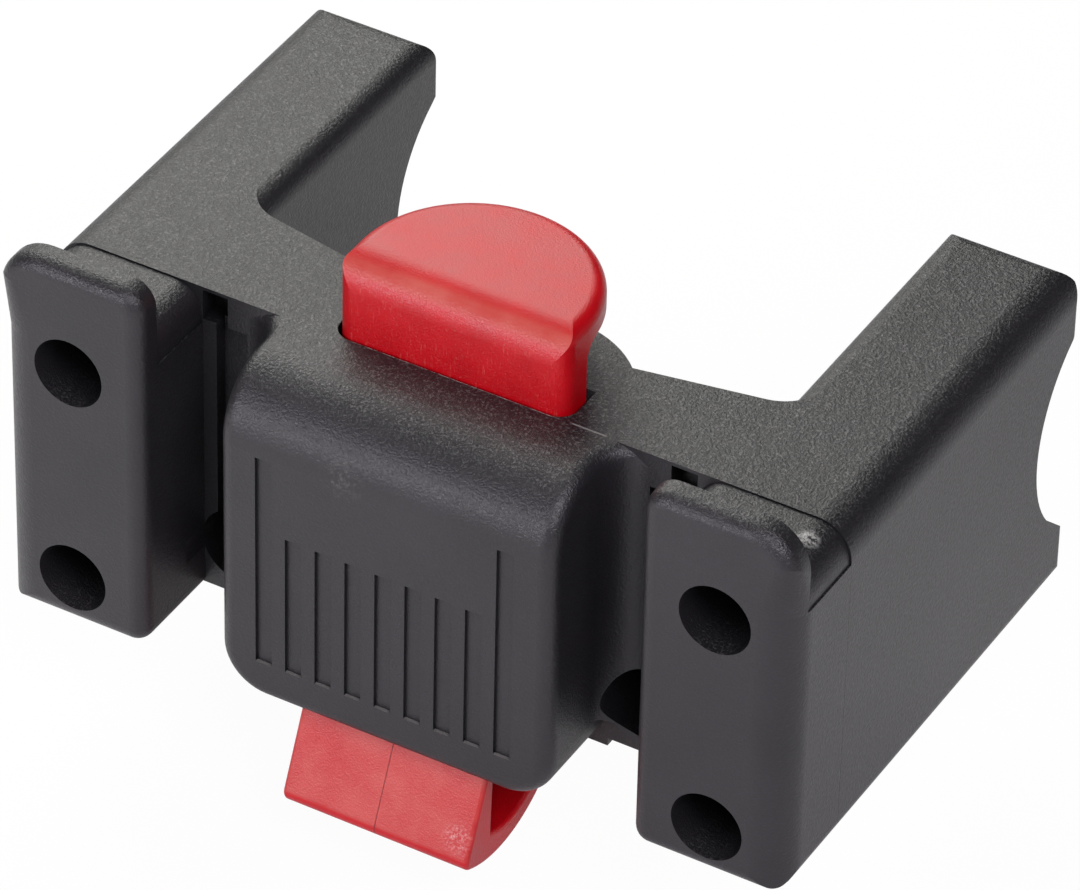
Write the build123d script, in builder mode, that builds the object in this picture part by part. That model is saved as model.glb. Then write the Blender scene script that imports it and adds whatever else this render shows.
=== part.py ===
from build123d import *

import os

# Quick-release handlebar mount for a bicycle bag, in millimetres.
# X runs along the handlebar, Y from the bag towards the bar, Z up.
# The origin is halfway between the two seats, on the line where the handlebar touches them.

# Overall form
overall_width = 114.2
seat_to_front = 65.8
seat_to_rear = 9.6
top_z = 25.0
base_z = -23.8

# Arms and handlebar seats
arm_width = 19.3
seat_radius = 18.2
seat_top_z = 15.4
seat_low_z = -11.3
seat_step = 0.8
lug_top_z = -16.4
lug_chamfer = 1.4
outer_edge_radius = 4.9
inner_edge_radius = 3.2
rear_edge_radius = 2.6
rear_corner_radius = 1.6

# Flanges and the caps that the bag hangs behind
flange_width = 21.5
flange_depth = 14.6
flange_corner_radius = 5.0
cap_top_z = 32.3
cap_thickness = 3.9
cap_outer_corner = 6.5
cap_inner_corner = 3.6
base_corner = 2.4
cap_front_radius = 2.3
neck_relief = 0.25
neck_base_z = 19.5
neck_inner_radius = 4.0

# Holes for the tension screws and their cables
hole_pitch_x = 92.8
hole_pitch_z = 33.0
hole_dia = 10.0
hole_depth = 46.0
cable_dia = 4.6

# Web between the arms
web_wall = 4.0
web_base_z = -22.6
plate_thickness = 3.5
hollow_base_z = -2.0
web_rear_inner = 28.4
web_rear_outer = 32.6
web_corner_radius = 6.5
bulge_half_width = 18.5
bulge_rear = 33.0
bulge_flat = 7.9
bulge_radius = 15.4
bulge_wall = 3.2

# Housing box in front of the web
box_half_width = 24.2
box_proud = 0.5
box_top_radius = 9.5
box_base_radius = 6.8
box_edge_radius = 2.2
box_flare_radius = 4.5
box_root_half_width = 31.5

# Grooves in the face of the box
groove_count = 9
groove_pitch = 4.35
groove_width = 2.4
groove_depth = 0.5
groove_base_z = -17.8
groove_outer_top_z = 15.0
groove_inner_top_z = 3.7

# Keyholes, panels and notches in the web beside the box
keyhole_x = 30.2
keyhole_z = -14.8
keyhole_radius = 5.7
keyhole_depth = 8.0
slot_inner = 27.7
panel_inner = 29.0
panel_outer = 33.6
panel_split_z = -5.0
panel_depth = 2.0
notch_inner = 31.9
notch_base_z = 20.0
notch_top_z = 24.5
notch_depth = 3.0

# Release slide: how far it goes and its room in the body
slide_travel = 7.0
slide_gap = 0.4
slide_side_gap = 0.6
press_room = 1.0
channel_base_z = -16.0
slot_chamfer = 1.0
stop_gap = 0.3

# Button
button_half_width = 16.5
stem_front = 15.2
stem_thickness = 5.2
stem_corner_radius = 2.3
stem_base_z = 0.0
pad_thickness = 3.8
pad_centre = 20.7
pad_rim_radius = 1.9
pad_front_radius = 4.6
pad_root_radius = 2.6

# Tongue that joins the catch to the button
tongue_half_width = 8.0
clip_half_width = 6.0
clip_thickness = 2.1
clip_length = 11.0
clip_barb = 0.5
clip_barb_height = 2.0
clip_barb_z = 5.0
joint_gap = 0.12

# Catch below the box
catch_half_width = 13.7
catch_round_y = 8.5
catch_round_z = -26.0
catch_outer_radius = 13.5
catch_band = 3.2
toe_y = -2.55
toe_z = -37.1
toe_radius = 1.6
tip_front_y = 3.1
tip_rear_y = 4.5
leg_inner_y = 4.0
upright_front_y = 15.5
upright_rear_y = 20.2
catch_edge_radius = 0.6

# Return springs
spring_x = 12.5
spring_dia = 5.2
spring_wire = 0.8
spring_turns = 6
spring_end_gap = 0.1

# Places worked out from the sizes above
arm_outer = overall_width / 2
arm_inner = arm_outer - arm_width
arm_crest = arm_inner + inner_edge_radius
flange_inner = arm_outer - flange_width
front_y = -seat_to_front
rear_y = seat_to_rear
whole_length = seat_to_front + seat_to_rear
cap_rear_y = front_y + cap_thickness
web_y = front_y + flange_depth
box_y = front_y - box_proud
wall_rear_y = web_y + web_wall
plate_under_z = top_z - plate_thickness
stem_front_y = front_y + stem_front
stem_rear_y = stem_front_y + stem_thickness
stem_mid_y = stem_front_y + stem_thickness / 2
channel_rear_y = stem_rear_y + slide_gap
channel_half_width = button_half_width + slide_side_gap
channel_corner_radius = stem_corner_radius + slide_gap
passage_half_width = tongue_half_width + slide_gap
pad_under_z = top_z + slide_travel + press_room
pad_top_z = pad_under_z + pad_thickness
shoulder_z = base_z - stop_gap


def seat_y(z):
    """Y of the handlebar seat's surface at height z."""
    return seat_radius - (seat_radius**2 - z**2) ** 0.5


def outer_corner(z, radius):
    """What is cut off the flange's outer front corner at height z to round it."""
    with BuildSketch(Plane.XY.offset(z)) as section:
        with BuildLine():
            rounding = RadiusArc(
                (arm_outer - radius, front_y),
                (arm_outer, front_y + radius),
                -radius,
            )
            Polyline(rounding @ 1, (arm_outer, front_y), rounding @ 0)
        make_face()
    return section.sketch


# Body: one moulding. The right arm comes first, as two outlines crossed with each other.
with BuildPart() as body:
    with BuildSketch(Plane.YZ.offset(arm_inner)) as outline:
        with BuildLine():
            seat = ThreePointArc(
                (seat_y(seat_low_z), seat_low_z),
                (0, 0),
                (seat_y(seat_top_z), seat_top_z),
            )
            Polyline(
                seat @ 1,
                (rear_y, seat_top_z + seat_step),
                (rear_y, top_z),
                (cap_rear_y, top_z),
                (cap_rear_y, base_z),
                (rear_y - lug_chamfer, base_z),
                (rear_y, base_z + lug_chamfer),
                (rear_y, lug_top_z),
                seat @ 0,
            )
        make_face()
        fillet(outline.vertices().group_by(Axis.Y)[-1].sort_by(Axis.X)[-1], rear_edge_radius)
    extrude(amount=arm_width)
    with BuildSketch(Plane.XZ.offset(-rear_y)) as cross_section:
        with Locations((arm_inner, base_z)):
            Rectangle(arm_width, top_z - base_z, align=(Align.MIN, Align.MIN))
        fillet(cross_section.vertices().group_by(Axis.Y)[0].sort_by(Axis.X)[-1], base_corner)
        fillet(cross_section.vertices().group_by(Axis.Y)[-1].sort_by(Axis.X)[0], inner_edge_radius)
        fillet(cross_section.vertices().group_by(Axis.Y)[-1].sort_by(Axis.X)[-1], outer_edge_radius)
    extrude(amount=whole_length, mode=Mode.INTERSECT)
    with BuildSketch(Plane.XY.offset(base_z)):
        with BuildLine():
            rear_corner = RadiusArc(
                (arm_outer, rear_y - rear_corner_radius),
                (arm_outer - rear_corner_radius, rear_y),
                -rear_corner_radius,
            )
            Polyline(rear_corner @ 1, (arm_outer, rear_y), rear_corner @ 0)
        make_face()
    extrude(amount=top_z - base_z, mode=Mode.SUBTRACT)

    # The neck's top stands a little inside the faces round it
    with BuildSketch(Plane.XZ.offset(-web_y)):
        with Locations((arm_outer, top_z)):
            Rectangle(4 * arm_width, 2 * (top_z - neck_base_z))
    extrude(amount=flange_depth, mode=Mode.SUBTRACT)
    with BuildSketch(Plane.XZ.offset(-web_y)) as neck:
        with Locations((flange_inner + neck_relief, base_z)):
            Rectangle(
                flange_width - 2 * neck_relief,
                top_z - neck_relief - base_z,
                align=(Align.MIN, Align.MIN),
            )
        fillet(neck.vertices().group_by(Axis.Y)[-1].sort_by(Axis.X)[0], neck_inner_radius)
        fillet(neck.vertices().group_by(Axis.Y)[-1].sort_by(Axis.X)[-1], outer_edge_radius)
        fillet(neck.vertices().group_by(Axis.Y)[0], base_corner)
    extrude(amount=flange_depth - cap_thickness)
    with BuildSketch(Plane.XZ.offset(-web_y)) as flange:
        with Locations((flange_inner, base_z)):
            Rectangle(flange_width, neck_base_z - base_z, align=(Align.MIN, Align.MIN))
        fillet(flange.vertices().group_by(Axis.Y)[0], base_corner)
    extrude(amount=flange_depth - cap_thickness)

    # Cap: the flange's front plate, higher than the arm
    with BuildSketch(Plane.XZ.offset(-cap_rear_y)) as cap:
        with Locations((flange_inner, base_z)):
            Rectangle(flange_width, cap_top_z - base_z, align=(Align.MIN, Align.MIN))
        fillet(cap.vertices().group_by(Axis.Y)[0], base_corner)
        fillet(cap.vertices().group_by(Axis.Y)[-1].sort_by(Axis.X)[0], cap_inner_corner)
        fillet(cap.vertices().group_by(Axis.Y)[-1].sort_by(Axis.X)[-1], cap_outer_corner)
    extrude(amount=cap_thickness)
    fillet(body.faces().sort_by(Axis.Y)[0].edges(), cap_front_radius)
    lower_corner = outer_corner(base_z, flange_corner_radius)
    extrude(lower_corner, amount=neck_base_z - base_z, mode=Mode.SUBTRACT)
    middle_corner = outer_corner(neck_base_z, flange_corner_radius)
    upper_corner = outer_corner(cap_top_z - cap_front_radius, cap_front_radius)
    loft([middle_corner, upper_corner], mode=Mode.SUBTRACT)

    mirror(about=Plane.YZ)

    # Web: its rear edge sweeps into the crest of each arm and bulges behind the button
    with BuildSketch(Plane.XY.offset(base_z)) as web:
        with BuildLine():
            Polyline(
                (0, web_y),
                (arm_crest + web_corner_radius, web_y),
                (arm_crest + web_corner_radius, front_y + web_rear_outer + web_corner_radius),
                (arm_crest, front_y + web_rear_outer + web_corner_radius),
                (arm_crest, front_y + web_rear_outer),
                (bulge_half_width, front_y + web_rear_inner),
            )
            RadiusArc(
                (bulge_half_width, front_y + web_rear_inner),
                (bulge_flat, front_y + bulge_rear),
                -bulge_radius,
            )
            Polyline((bulge_flat, front_y + bulge_rear), (0, front_y + bulge_rear), (0, web_y))
        make_face()
        corner = web.vertices().group_by(Axis.X)[-2].sort_by(Axis.Y)[0]
        fillet(corner, web_corner_radius)
        mirror(about=Plane.YZ)
    extrude(amount=top_z - base_z)

    # The web is hollow from behind on each side of the button's channel
    with BuildSketch(Plane.XY.offset(hollow_base_z)):
        with Locations((box_half_width, wall_rear_y)):
            Rectangle(arm_inner - box_half_width, seat_to_front, align=(Align.MIN, Align.MIN))
        mirror(about=Plane.YZ)
    extrude(amount=plate_under_z - hollow_base_z, mode=Mode.SUBTRACT)

    # Holes for the tension screws, running on as narrower cable holes
    with BuildSketch(Plane.XZ.offset(-front_y)):
        with GridLocations(hole_pitch_x, hole_pitch_z, 2, 2):
            Circle(hole_dia / 2)
    extrude(amount=-hole_depth, mode=Mode.SUBTRACT)
    with BuildSketch(Plane.XZ.offset(-front_y)):
        with GridLocations(hole_pitch_x, hole_pitch_z, 2, 2):
            Circle(cable_dia / 2)
    extrude(amount=-whole_length, mode=Mode.SUBTRACT)

# Housing box: its rolled top and rounded sides flare out to the web
with BuildPart() as box:
    with BuildSketch(Plane.XY.offset(base_z)):
        with BuildLine():
            Polyline((0, box_y), (box_half_width, box_y), (box_half_width, web_y - box_flare_radius))
            RadiusArc(
                (box_half_width, web_y - box_flare_radius),
                (box_half_width + box_flare_radius, web_y),
                box_flare_radius,
            )
            Polyline(
                (box_half_width + box_flare_radius, web_y),
                (box_root_half_width, web_y),
                (box_root_half_width, wall_rear_y),
                (0, wall_rear_y),
                (0, box_y),
            )
        make_face()
        mirror(about=Plane.YZ)
    extrude(amount=top_z - base_z)
    with BuildSketch(Plane.XZ.offset(-box_y)):
        with BuildLine():
            base_arc = RadiusArc(
                (box_half_width - box_base_radius, base_z),
                (box_half_width, base_z + box_base_radius),
                -box_base_radius,
            )
            Polyline(
                base_arc @ 1,
                (box_half_width + box_flare_radius, web_base_z),
                (arm_inner, web_base_z),
                (arm_inner, base_z),
                base_arc @ 0,
            )
        make_face()
        mirror(about=Plane.YZ)
    extrude(amount=box_y - web_y, mode=Mode.SUBTRACT)
    front_face = box.faces().sort_by(Axis.Y)[0]
    fillet(front_face.edges().filter_by(Axis.X).sort_by(Axis.Z)[-1], box_top_radius)
    front_face = box.faces().sort_by(Axis.Y)[0]
    fillet(front_face.edges().sort_by(Axis.Z)[:-1], box_edge_radius)

    # Grooves in the box's face
    with BuildSketch(Plane.XZ.offset(-box_y)):
        with GridLocations(groove_pitch, 0, groove_count, 1):
            with Locations((0, groove_base_z)):
                Rectangle(
                    groove_width,
                    groove_inner_top_z - groove_base_z,
                    align=(Align.CENTER, Align.MIN),
                )
        with GridLocations(groove_pitch * (groove_count - 1), 0, 2, 1):
            with Locations((0, groove_base_z)):
                Rectangle(
                    groove_width,
                    groove_outer_top_z - groove_base_z,
                    align=(Align.CENTER, Align.MIN),
                )
    extrude(amount=-groove_depth, mode=Mode.SUBTRACT)

# The box joins the body, and the slide's room is cut through both
with BuildPart() as mount:
    add(body.part)
    add(box.part)
    with BuildSketch(Plane.XY.offset(top_z)) as slot:
        with Locations((0, stem_mid_y)):
            Rectangle(2 * channel_half_width, stem_thickness + 2 * slide_gap)
        fillet(slot.vertices().group_by(Axis.Y)[0], channel_corner_radius)
    extrude(amount=channel_base_z - top_z, mode=Mode.SUBTRACT)
    upper_edges = mount.edges().filter_by(Axis.X).filter_by_position(Axis.Z, plate_under_z, pad_under_z)
    slot_rear = upper_edges.filter_by_position(Axis.Y, stem_rear_y, channel_rear_y + slide_gap)
    chamfer(slot_rear, slot_chamfer)
    with BuildSketch(Plane.XY.offset(channel_base_z)):
        with Locations((0, stem_mid_y)):
            Rectangle(2 * passage_half_width, stem_thickness + 2 * slide_gap)
    extrude(amount=2 * base_z - channel_base_z, mode=Mode.SUBTRACT)

    # The web's underside is a little higher than the box's
    with BuildSketch(Plane.XY.offset(base_z)):
        with Locations((box_half_width, web_y)):
            Rectangle(arm_inner - box_half_width, seat_to_front, align=(Align.MIN, Align.MIN))
        mirror(about=Plane.YZ)
    extrude(amount=web_base_z - base_z, mode=Mode.SUBTRACT)

    # Bulge cored out from below
    with BuildSketch(Plane.XY.offset(base_z)):
        with Locations((0, channel_rear_y + bulge_wall)):
            Rectangle(
                2 * passage_half_width,
                front_y + bulge_rear - channel_rear_y - 2 * bulge_wall,
                align=(Align.CENTER, Align.MIN),
            )
    extrude(amount=plate_under_z - base_z, mode=Mode.SUBTRACT)

    # Blind keyholes in the web's face
    with BuildSketch(Plane.XZ.offset(box_flare_radius - web_y)):
        with Locations((keyhole_x, keyhole_z)):
            Circle(keyhole_radius)
        mirror(about=Plane.YZ)
    extrude(amount=-box_flare_radius - keyhole_depth, mode=Mode.SUBTRACT)
    with BuildSketch(Plane.XZ.offset(-web_y)):
        with Locations((slot_inner, keyhole_z)):
            Rectangle(
                panel_outer - slot_inner,
                panel_split_z - keyhole_z,
                align=(Align.MIN, Align.MIN),
            )
        mirror(about=Plane.YZ)
    extrude(amount=-keyhole_depth, mode=Mode.SUBTRACT)

    # Shallow panels above the keyholes, and the notches under the web's top edge
    with BuildSketch(Plane.XZ.offset(-web_y)):
        with Locations((panel_inner, panel_split_z)):
            Rectangle(
                panel_outer - panel_inner,
                notch_base_z - panel_split_z,
                align=(Align.MIN, Align.MIN),
            )
        mirror(about=Plane.YZ)
    extrude(amount=-panel_depth, mode=Mode.SUBTRACT)
    with BuildSketch(Plane.XZ.offset(-web_y)):
        with Locations((notch_inner, notch_base_z)):
            Rectangle(
                flange_inner - notch_inner,
                notch_top_z - notch_base_z,
                align=(Align.MIN, Align.MIN),
            )
        mirror(about=Plane.YZ)
    extrude(amount=-notch_depth, mode=Mode.SUBTRACT)

# Button: a thumb pad on a flat stem, with a socket for the catch's clip
with BuildPart() as button:
    with BuildSketch(Plane.XY.offset(pad_under_z)) as pad:
        with BuildLine():
            pad_y = front_y + pad_centre
            pad_arc = ThreePointArc(
                (button_half_width, pad_y),
                (0, pad_y + button_half_width),
                (-button_half_width, pad_y),
            )
            Polyline(
                pad_arc @ 1,
                (-button_half_width, stem_front_y),
                (button_half_width, stem_front_y),
                pad_arc @ 0,
            )
        make_face()
        fillet(pad.vertices().group_by(Axis.Y)[0], stem_corner_radius)
    extrude(amount=pad_thickness)
    with BuildSketch(Plane.XY.offset(stem_base_z)) as stem:
        with Locations((0, stem_front_y)):
            Rectangle(2 * button_half_width, stem_thickness, align=(Align.CENTER, Align.MIN))
        fillet(stem.vertices().group_by(Axis.Y)[0], stem_corner_radius)
    extrude(amount=pad_under_z - stem_base_z)
    root = button.edges().filter_by(Axis.X).filter_by_position(Axis.Z, pad_under_z, pad_under_z)
    fillet(root.sort_by(Axis.Y)[-1], pad_root_radius)
    fillet(button.faces().sort_by(Axis.Z)[-1].edges(), pad_rim_radius)
    with BuildSketch(Plane.YZ.offset(-button_half_width)):
        with BuildLine():
            brow = RadiusArc(
                (stem_front_y, pad_top_z - pad_front_radius),
                (stem_front_y + pad_front_radius, pad_top_z),
                pad_front_radius,
            )
            Polyline(brow @ 1, (stem_front_y, pad_top_z), brow @ 0)
        make_face()
    extrude(amount=2 * button_half_width, mode=Mode.SUBTRACT)
    with BuildSketch(Plane.XY.offset(stem_base_z)):
        with Locations((0, stem_mid_y)):
            Rectangle(2 * (clip_half_width + joint_gap), clip_thickness + 2 * joint_gap)
    extrude(amount=clip_length + joint_gap, mode=Mode.SUBTRACT)
    with BuildSketch(Plane.XZ.offset(-stem_front_y)):
        with Locations((0, clip_barb_z - joint_gap)):
            Rectangle(
                2 * (clip_half_width + joint_gap),
                clip_barb_height + 2 * joint_gap,
                align=(Align.CENTER, Align.MIN),
            )
    extrude(amount=-stem_thickness / 2, mode=Mode.SUBTRACT)

# Catch: a hook under the box, with a ramped nose in front
with BuildPart() as catch:
    with BuildSketch(Plane.YZ.offset(-catch_half_width)) as hook:
        with BuildLine():
            round_y = front_y + catch_round_y
            inner_radius = catch_outer_radius - catch_band
            leg_y = front_y + leg_inner_y
            leg_z = catch_round_z - (inner_radius**2 - (leg_y - round_y) ** 2) ** 0.5
            up_y = front_y + upright_front_y
            up_z = catch_round_z - (inner_radius**2 - (up_y - round_y) ** 2) ** 0.5
            back_y = front_y + upright_rear_y
            back_z = catch_round_z - (catch_outer_radius**2 - (back_y - round_y) ** 2) ** 0.5
            trough = ThreePointArc(
                (leg_y, leg_z), (round_y, catch_round_z - inner_radius), (up_y, up_z)
            )
            Polyline(
                trough @ 1,
                (up_y, shoulder_z),
                (back_y, shoulder_z),
                (back_y, back_z),
            )
            sole = ThreePointArc(
                (back_y, back_z),
                (round_y, catch_round_z - catch_outer_radius),
                (front_y + toe_y, toe_z),
            )
            Polyline(
                sole @ 1,
                (front_y + tip_front_y, shoulder_z),
                (front_y + tip_rear_y, shoulder_z),
                trough @ 0,
            )
        make_face()
        fillet(hook.vertices().sort_by(Axis.X)[0], toe_radius)
    extrude(amount=2 * catch_half_width)
    fillet(catch.faces().filter_by(Axis.X).edges(), catch_edge_radius)
    with BuildSketch(Plane.XY.offset(shoulder_z)):
        with Locations((0, front_y + upright_front_y)):
            Rectangle(
                2 * tongue_half_width,
                upright_rear_y - upright_front_y,
                align=(Align.CENTER, Align.MIN),
            )
    extrude(amount=stem_base_z - joint_gap - shoulder_z)
    with BuildSketch(Plane.XY.offset(stem_base_z - joint_gap)):
        with Locations((0, stem_mid_y)):
            Rectangle(2 * clip_half_width, clip_thickness)
    extrude(amount=clip_length)
    with BuildSketch(Plane.XZ.offset(-stem_mid_y)):
        with Locations((0, clip_barb_z)):
            Rectangle(2 * clip_half_width, clip_barb_height, align=(Align.CENTER, Align.MIN))
    extrude(amount=clip_thickness / 2 + clip_barb)

# Return springs between the channel's ledges and the button's stem
with BuildPart() as spring_right:
    coil_low_z = channel_base_z + spring_wire / 2 + spring_end_gap
    coil_high_z = stem_base_z - spring_wire / 2 - spring_end_gap
    coil_radius = (spring_dia - spring_wire) / 2
    coil_height = coil_high_z - coil_low_z
    with BuildLine(Plane((spring_x, stem_mid_y, coil_low_z))) as coil:
        Helix(coil_height / spring_turns, coil_height, coil_radius)
    with BuildSketch(coil.line ^ 0):
        Circle(spring_wire / 2)
    sweep(is_frenet=True)
with BuildPart() as spring_left:
    with Locations((-2 * spring_x, 0, 0)):
        add(spring_right.part)

# One file for each piece
mount.part.label = "body"
button.part.label = "release_button"
catch.part.label = "catch"
spring_right.part.label = "return_spring_right"
spring_left.part.label = "return_spring_left"
os.makedirs("parts", exist_ok=True)
export_step(mount.part, "parts/body.step")
export_step(button.part, "parts/release_button.step")
export_step(catch.part, "parts/catch.step")
export_step(spring_right.part, "parts/return_spring_right.step")
export_step(spring_left.part, "parts/return_spring_left.step")
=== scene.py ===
import math

import bpy
from mathutils import Matrix, Vector


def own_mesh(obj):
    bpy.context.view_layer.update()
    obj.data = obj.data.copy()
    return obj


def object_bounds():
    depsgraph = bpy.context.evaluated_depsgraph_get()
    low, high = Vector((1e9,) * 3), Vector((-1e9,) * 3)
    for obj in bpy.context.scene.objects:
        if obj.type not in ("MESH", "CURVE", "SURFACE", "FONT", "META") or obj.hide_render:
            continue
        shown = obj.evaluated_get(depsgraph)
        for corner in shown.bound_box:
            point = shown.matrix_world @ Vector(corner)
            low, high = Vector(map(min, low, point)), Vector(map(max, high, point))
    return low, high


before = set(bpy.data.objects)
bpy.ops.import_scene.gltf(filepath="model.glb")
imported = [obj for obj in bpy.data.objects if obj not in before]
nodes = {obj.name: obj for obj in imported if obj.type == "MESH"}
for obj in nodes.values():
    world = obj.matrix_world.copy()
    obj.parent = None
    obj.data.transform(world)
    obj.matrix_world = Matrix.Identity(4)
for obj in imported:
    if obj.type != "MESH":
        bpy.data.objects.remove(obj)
cad_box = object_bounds()
scene = bpy.context.scene
MM = 0.001

# Where the marks and painted highlights lie on the body, in mm
arm_side_x = (56.5, 56.8)
seam_y = (-51.24, -51.16)
seam_top_z = (19.5, 18.5)
slot_line_y = (-51.05, -50.85)
slot_line_x = (18.0, 22.2)
slot_edge_y = (-51.1, -50.98)
slot_edge_x = (-13.5, 15.5)
slot_line_z = (24.8, 24.9)
slot_edge_z = (24.7, 24.9)
ledge_z = (-17.95, -17.65)
ledge_y = (-64.5, -65.0)
neck_rub_at = (52.9, -55.0, 24.3)
roll_rub_at = (-6.0, -66.0, 16.6)

# Where the marks lie on the catch, in mm
parting_x = (-0.03, 0.03)
ramp_scuff_at = (11.6, -66.6, -33.6)

# Floor, in mm
floor_half_width = 3000
floor_middle_y = -20
floor_drop = 7.6

# Point that the lamps aim at, in mm
aim_y = -27

# Camera: angles in degrees, lengths in mm, focal length in pixels of the photo
view_azimuth = 29.40
view_elevation = 38.28
view_roll = 1.35
camera_distance = 996.9
camera_shift = (19.30, 19.07)
flange_front_y = -65.8
photo_width = 1080
focal_pixels = 8028
sensor_width = 36.0


# Helpers that build a material's nodes
class Shader:
    def __init__(self, name):
        self.mat = bpy.data.materials.new(name)
        self.mat.use_nodes = True
        self.tree = self.mat.node_tree
        self.tree.nodes.clear()
        self.out = self.add("ShaderNodeOutputMaterial")
        self.place = self.add("ShaderNodeTexCoord")
        self.p = self.place.outputs["Object"]

    def add(self, kind, **props):
        node = self.tree.nodes.new(kind)
        for key, value in props.items():
            setattr(node, key, value)
        return node

    def link(self, a, b):
        self.tree.links.new(a, b)

    def value(self, socket, v):
        if isinstance(v, bpy.types.NodeSocket):
            self.link(v, socket)
        else:
            socket.default_value = v

    def math(self, op, a, b=None, clamp=False):
        n = self.add("ShaderNodeMath", operation=op, use_clamp=clamp)
        self.value(n.inputs[0], a)
        if b is not None:
            self.value(n.inputs[1], b)
        return n.outputs[0]

    def times(self, first, *rest):
        for other in rest:
            first = self.math("MULTIPLY", first, other)
        return first

    def most(self, first, *rest):
        for other in rest:
            first = self.math("MAXIMUM", first, other)
        return first

    def xyz(self, vector):
        n = self.add("ShaderNodeSeparateXYZ")
        self.link(vector, n.inputs[0])
        return n.outputs

    def facing(self):
        """The surface's normal in the object's own frame."""
        return self.xyz(self.place.outputs["Normal"])

    def stretched(self, scale):
        n = self.add("ShaderNodeMapping")
        self.link(self.p, n.inputs["Vector"])
        n.inputs["Scale"].default_value = scale
        return n.outputs[0]

    def noise(self, per_metre, detail, rough, place=None):
        n = self.add("ShaderNodeTexNoise")
        self.link(place or self.p, n.inputs["Vector"])
        n.inputs["Scale"].default_value = per_metre
        n.inputs["Detail"].default_value = detail
        n.inputs["Roughness"].default_value = rough
        return n.outputs[0]

    def remap(self, fac, from_low, from_high, to_low, to_high):
        n = self.add("ShaderNodeMapRange")
        self.link(fac, n.inputs[0])
        for i, v in enumerate((from_low, from_high, to_low, to_high)):
            n.inputs[i + 1].default_value = v
        return n.outputs[0]

    def mix(self, fac, a, b):
        n = self.add("ShaderNodeMix", data_type="RGBA")
        self.value(n.inputs[0], fac)
        for sock, v in ((n.inputs[6], a), (n.inputs[7], b)):
            if isinstance(v, bpy.types.NodeSocket):
                self.link(v, sock)
            else:
                sock.default_value = (*v, 1.0)
        return n.outputs[2]

    def bump(self, height, distance):
        n = self.add("ShaderNodeBump")
        n.inputs["Strength"].default_value = 1.0
        n.inputs["Distance"].default_value = distance
        self.link(height, n.inputs["Height"])
        return n.outputs[0]

    def past(self, v, start, end):
        """Rises from 0 to 1 as v, in metres, goes from start to end, in mm."""
        return self.remap(v, start * MM, end * MM, 0.0, 1.0)

    def band(self, v, low, high, soft):
        """1 where v, in metres, lies between low and high in mm, fading to 0 over soft mm."""
        middle = (low + high) / 2 * MM
        half = (high - low) / 2
        gap = self.math("ABSOLUTE", self.math("SUBTRACT", v, middle))
        return self.past(gap, half + soft, half)

    def spot(self, centre, radius, soft):
        """1 within radius of a point, fading to 0 over soft, all in mm."""
        n = self.add("ShaderNodeVectorMath", operation="DISTANCE")
        self.link(self.p, n.inputs[0])
        n.inputs[1].default_value = tuple(c * MM for c in centre)
        return self.past(n.outputs["Value"], radius + soft, radius)

    def finish(self, bsdf):
        self.link(bsdf.outputs[0], self.out.inputs[0])
        return self.mat
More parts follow.
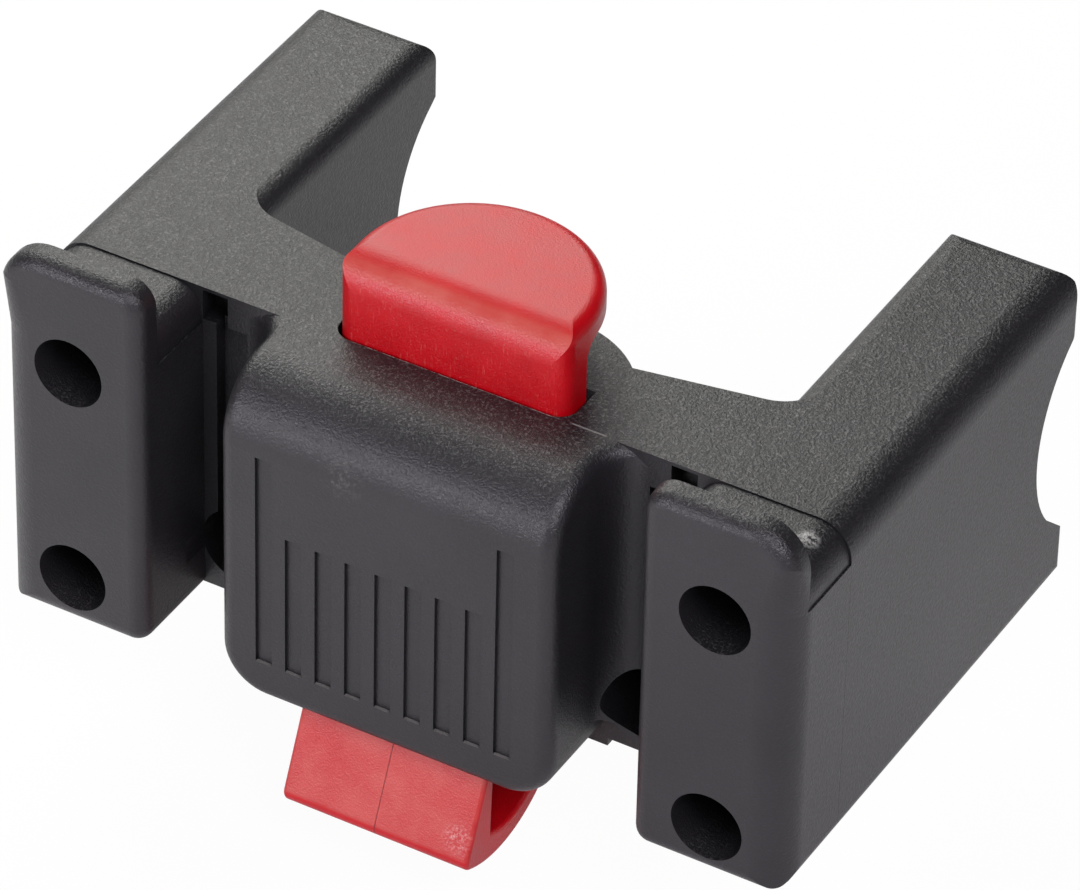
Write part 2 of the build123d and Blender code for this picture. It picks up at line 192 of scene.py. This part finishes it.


# Black nylon with an eroded grain, rubbed bare in a few places, with painted glints, highlights and
# shade
def black_nylon():
    dark, paler = (0.011, 0.0105, 0.0122), (0.017, 0.016, 0.0185)
    glint_fleck_tone = (0.12, 0.12, 0.116)
    hollow_shade_tone = (0.002, 0.002, 0.002)
    seam_tone = (0.003, 0.003, 0.003)
    rub_and_glint_tone = (0.42, 0.42, 0.40)
    ledge_highlight_tone = (0.30, 0.29, 0.28)
    hollow_reach = 11 * MM
    grain_depth = 0.16 * MM

    s = Shader("black_nylon")
    x, y, z = s.xyz(s.p)
    tilt = s.facing()[2]
    grain = s.noise(3300, 2.0, 0.65)
    pits = s.noise(2100, 2.0, 0.6)
    cloud = s.noise(70, 3.0, 0.55)
    breakup = s.noise(1500, 3.0, 0.7)
    # Enclosure measure used for the painted shade in holes and channels
    near = s.add("ShaderNodeAmbientOcclusion", samples=6)
    near.inputs["Distance"].default_value = hollow_reach
    open_air = s.remap(near.outputs["AO"], 0.15, 0.62, 0.1, 1.0)
    upward = s.remap(tilt, 0.75, 0.98, 0.05, 1.0)

    # Cloudy black, with painted glints as pale flecks on the upward, open tops, and painted shade in
    # holes and channels
    tone = s.mix(s.remap(cloud, 0.3, 0.7, 0, 1), dark, paler)
    # Painted glints: pale flecks only on faces that point up and are not enclosed
    glint_flecks = s.times(s.remap(grain, 0.52, 0.70, 0, 1), open_air, open_air, upward)
    tone = s.mix(glint_flecks, tone, glint_fleck_tone)
    # Painted shade: near-black colour where the surface is enclosed, in holes and channels
    tone = s.mix(s.remap(open_air, 0.2, 0.9, 0.75, 0), tone, hollow_shade_tone)

    # Hairline down the outer side of each arm
    flank = s.times(s.past(s.math("ABSOLUTE", x), *arm_side_x), s.past(z, *seam_top_z))
    seam = s.times(s.band(y, *seam_y, 0.05), flank)
    tone = s.mix(s.times(seam, 0.8), tone, seam_tone)

    # Rubs on the right neck and the roll of the box and beside the slot, and a painted highlight
    # along the slot's front edge
    neck_rub = s.times(s.spot(neck_rub_at, 0.7, 1.1), s.remap(breakup, 0.40, 0.55, 0, 1))
    roll_rub = s.times(s.spot(roll_rub_at, 1.3, 2.2), s.remap(breakup, 0.50, 0.72, 0, 0.16))
    slot_line = s.times(s.band(y, *slot_line_y, 0.06), s.band(x, *slot_line_x, 0.6))
    slot_line = s.times(slot_line, s.past(z, *slot_line_z), 0.5)
    # Painted highlight: a pale hairline where the slot's front edge catches the light
    slot_edge_glint = s.times(s.band(y, *slot_edge_y, 0.05), s.band(x, *slot_edge_x, 1.0))
    slot_edge_glint = s.times(slot_edge_glint, s.past(z, *slot_edge_z), s.remap(breakup, 0.42, 0.60, 0, 0.55))
    tone = s.mix(s.most(neck_rub, roll_rub, slot_line, slot_edge_glint), tone, rub_and_glint_tone)

    # Painted highlights on the ledges at the feet of the grooves
    ledge_highlights = s.times(s.band(z, *ledge_z, 0.05), s.past(y, *ledge_y), s.remap(tilt, 0.6, 0.9, 0, 0.45))
    tone = s.mix(ledge_highlights, tone, ledge_highlight_tone)

    bsdf = s.add("ShaderNodeBsdfPrincipled")
    s.link(tone, bsdf.inputs["Base Color"])
    s.link(s.remap(pits, 0.25, 0.75, 0.33, 0.47), bsdf.inputs["Roughness"])
    # Painted shade: weaker reflection where the surface is enclosed
    s.link(s.times(open_air, 0.55), bsdf.inputs["Specular IOR Level"])
    height = s.math("ADD", s.times(grain, 0.8), s.times(pits, 0.7))
    height = s.times(height, s.remap(tilt, 0.1, 0.8, 0.45, 1.0))
    height = s.math("SUBTRACT", height, seam)
    s.link(s.bump(height, grain_depth), bsdf.inputs["Normal"])
    return s.finish(bsdf)


# Scratches and specks on the button's front, and a painted highlight on the rounding above it
def wear_and_highlight_button(s, tone, cloud, speck):
    scratch_tone = (0.68, 0.18, 0.14)
    brow_highlight_tone = (0.52, 0.15, 0.115)
    facing = s.facing()
    front = s.remap(facing[1], -0.7, -0.95, 0, 1)
    streak = s.noise(1.0, 3.0, 0.65, s.stretched((3200, 3200, 420)))
    scratch = s.times(s.remap(streak, 0.58, 0.72, 0, 0.5), front, s.remap(cloud, 0.42, 0.58, 0.1, 1))
    specks = s.times(s.remap(speck, 0.64, 0.74, 0, 0.5), front)
    tone = s.mix(s.most(scratch, specks), tone, scratch_tone)
    # Painted highlight: a paler band on the rounding, set by how far the surface tilts up
    brow_highlight = s.times(s.remap(facing[2], 0.45, 0.62, 0, 1), s.remap(facing[2], 0.80, 0.95, 1, 0))
    brow_highlight = s.times(brow_highlight, s.remap(facing[1], -0.3, -0.5, 0, 1), s.remap(cloud, 0.3, 0.7, 0.3, 0.65))
    return s.mix(brow_highlight, tone, brow_highlight_tone)


# Mottling, a scuff and the mould's parting line on the catch's ramp
def wear_catch(s, tone, cloud, speck):
    haze_tone = (0.50, 0.14, 0.11)
    scuff_tone = (0.85, 0.62, 0.58)
    line_tone = (0.12, 0.002, 0.004)
    facing = s.facing()
    ramp = s.times(s.remap(facing[1], -0.45, -0.7, 0, 1), s.remap(facing[2], 0.1, 0.3, 0, 1))
    haze = s.times(ramp, s.remap(cloud, 0.36, 0.64, 0.10, 0.40))
    tone = s.mix(haze, tone, haze_tone)
    scuff = s.times(s.spot(ramp_scuff_at, 0.8, 2.0), s.remap(speck, 0.46, 0.70, 0, 0.4), ramp)
    tone = s.mix(scuff, tone, scuff_tone)
    line = s.times(s.band(s.xyz(s.p)[0], *parting_x, 0.06), s.remap(facing[1], -0.3, -0.5, 0, 1))
    tone = s.mix(s.times(line, 0.75), tone, line_tone)
    return tone, line


# Red moulded plastic, worn pale where it is touched, with a painted highlight on the button's upper
# rounding
def red_plastic(name, on_button):
    deep, bright = (0.44, 0.0005, 0.0045), (0.53, 0.0008, 0.0065)
    grain_depth = 0.06 * MM
    s = Shader(name)
    fine = s.noise(4200, 2.0, 0.65)
    cloud = s.noise(160, 4.0, 0.62)
    speck = s.noise(2600, 3.0, 0.7)
    tone = s.mix(s.remap(cloud, 0.3, 0.7, 0, 1), deep, bright)
    height = fine
    if on_button:
        tone = wear_and_highlight_button(s, tone, cloud, speck)
    else:
        tone, line = wear_catch(s, tone, cloud, speck)
        height = s.math("SUBTRACT", fine, line)
    bsdf = s.add("ShaderNodeBsdfPrincipled")
    s.link(tone, bsdf.inputs["Base Color"])
    s.link(s.remap(cloud, 0.3, 0.7, 0.31, 0.40), bsdf.inputs["Roughness"])
    bsdf.inputs["Specular IOR Level"].default_value = 0.5
    s.link(s.bump(height, grain_depth), bsdf.inputs["Normal"])
    return s.finish(bsdf)


# Drawn spring wire
def spring_steel():
    dark, bright = (0.42, 0.42, 0.44), (0.58, 0.58, 0.60)
    streak_depth = 0.004 * MM
    s = Shader("spring_steel")
    streak = s.noise(1800, 3.0, 0.6)
    bsdf = s.add("ShaderNodeBsdfPrincipled")
    s.link(s.mix(s.remap(streak, 0.3, 0.7, 0, 1), dark, bright), bsdf.inputs["Base Color"])
    bsdf.inputs["Metallic"].default_value = 1.0
    s.link(s.remap(streak, 0.3, 0.7, 0.25, 0.4), bsdf.inputs["Roughness"])
    s.link(s.bump(streak, streak_depth), bsdf.inputs["Normal"])
    return s.finish(bsdf)


def dress(node, material):
    mesh = nodes[node].data
    mesh.materials.clear()
    mesh.materials.append(material)


steel = spring_steel()
dress("body", black_nylon())
dress("release_button", red_plastic("red_plastic", True))
dress("catch", red_plastic("red_plastic_catch", False))
dress("return_spring_left", steel)
dress("return_spring_right", steel)

# Each spring gets its own copy of its mesh
for node in ("return_spring_left", "return_spring_right"):
    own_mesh(nodes[node])


# Pale floor, white to the camera, just clear of the catch when it is pressed right down
def floor_material():
    s = Shader("pale_floor")
    pale = s.add("ShaderNodeBsdfDiffuse")
    pale.inputs["Color"].default_value = (0.86, 0.86, 0.86, 1)
    glow = s.add("ShaderNodeEmission")
    glow.inputs["Color"].default_value = (1, 1, 1, 1)
    path = s.add("ShaderNodeLightPath")
    to_camera = s.times(path.outputs["Is Camera Ray"], 0.96)
    to_gloss = s.times(path.outputs["Is Glossy Ray"], 0.08)
    backdrop = s.add("ShaderNodeMixShader")
    s.link(s.math("ADD", to_camera, to_gloss, True), backdrop.inputs[0])
    s.link(pale.outputs[0], backdrop.inputs[1])
    s.link(glow.outputs[0], backdrop.inputs[2])
    return s.finish(backdrop)


half = floor_half_width * MM
corners = [(-half, -half, 0), (half, -half, 0), (half, half, 0), (-half, half, 0)]
floor_mesh = bpy.data.meshes.new("floor")
floor_mesh.from_pydata(corners, [], [(0, 1, 2, 3)])
floor_mesh.materials.append(floor_material())
floor = bpy.data.objects.new("floor", floor_mesh)
floor.location = (0, floor_middle_y * MM, cad_box[0][2] - floor_drop * MM)
scene.collection.objects.link(floor)


# World: white to the camera, dim to the object
def backdrop_light(tree, color, strength):
    light = tree.nodes.new("ShaderNodeBackground")
    light.inputs["Color"].default_value = color
    light.inputs["Strength"].default_value = strength
    return light.outputs[0]


world = bpy.data.worlds.new("studio")
scene.world = world
world.use_nodes = True
tree = world.node_tree
tree.nodes.clear()
either = tree.nodes.new("ShaderNodeMixShader")
path = tree.nodes.new("ShaderNodeLightPath")
tree.links.new(path.outputs["Is Camera Ray"], either.inputs[0])
tree.links.new(backdrop_light(tree, (0.95, 0.96, 1.0, 1), 0.02), either.inputs[1])
tree.links.new(backdrop_light(tree, (1, 1, 1, 1), 1.0), either.inputs[2])
tree.links.new(either.outputs[0], tree.nodes.new("ShaderNodeOutputWorld").inputs[0])


def direction(azimuth, elevation):
    """Unit vector towards a place round the object. Azimuth 0 is the bag's side, 90 is +X."""
    a = math.radians(azimuth)
    e = math.radians(elevation)
    return Vector((math.sin(a) * math.cos(e), -math.cos(a) * math.cos(e), math.sin(e)))


# Soft studio light
def softbox(name, azimuth, elevation, distance, width, height, power, color):
    """An area lamp aimed at the middle of the object, in metres and watts."""
    lamp = bpy.data.lights.new(name, "AREA")
    lamp.shape = "RECTANGLE"
    lamp.size = width
    lamp.size_y = height
    lamp.energy = power
    lamp.color = color
    obj = bpy.data.objects.new(name, lamp)
    way = direction(azimuth, elevation)
    obj.location = Vector((0, aim_y * MM, 0)) + distance * way
    obj.rotation_euler = way.to_track_quat("Z", "Y").to_euler()
    scene.collection.objects.link(obj)


warm_tint = (1.0, 1.0, 0.95)
pink_tint = (1.0, 0.95, 1.03)
softbox("over_back", 229, 43, 0.41, 0.36, 0.36, 1.6, warm_tint)
softbox("key", -24, 16, 0.6, 0.30, 0.12, 1.7, pink_tint)
softbox("beside_camera", 44, 44, 1.1, 0.6, 0.5, 9.2, pink_tint)

# Camera at the photo's viewing angle
back = direction(view_azimuth, view_elevation)
level = direction(view_azimuth + 90, 0)
rise = back.cross(level)
roll = math.radians(view_roll)
right = math.cos(roll) * level + math.sin(roll) * rise
up = -math.sin(roll) * level + math.cos(roll) * rise
shift_right, shift_up = camera_shift
eye = shift_right * right + shift_up * up + camera_distance * back + Vector((0, flange_front_y, 0))
cam = bpy.data.cameras.new("camera")
cam.sensor_fit = "HORIZONTAL"
cam.sensor_width = sensor_width
cam.lens = focal_pixels * sensor_width / photo_width
cam.clip_start = 0.05
cam.clip_end = 20
cam.dof.use_dof = False
cam_obj = bpy.data.objects.new("camera", cam)
turn = Matrix((right, up, back)).transposed()
cam_obj.matrix_world = Matrix.Translation(eye * MM) @ turn.to_4x4()
scene.collection.objects.link(cam_obj)
scene.camera = cam_obj
scene.view_settings.view_transform = "Standard"
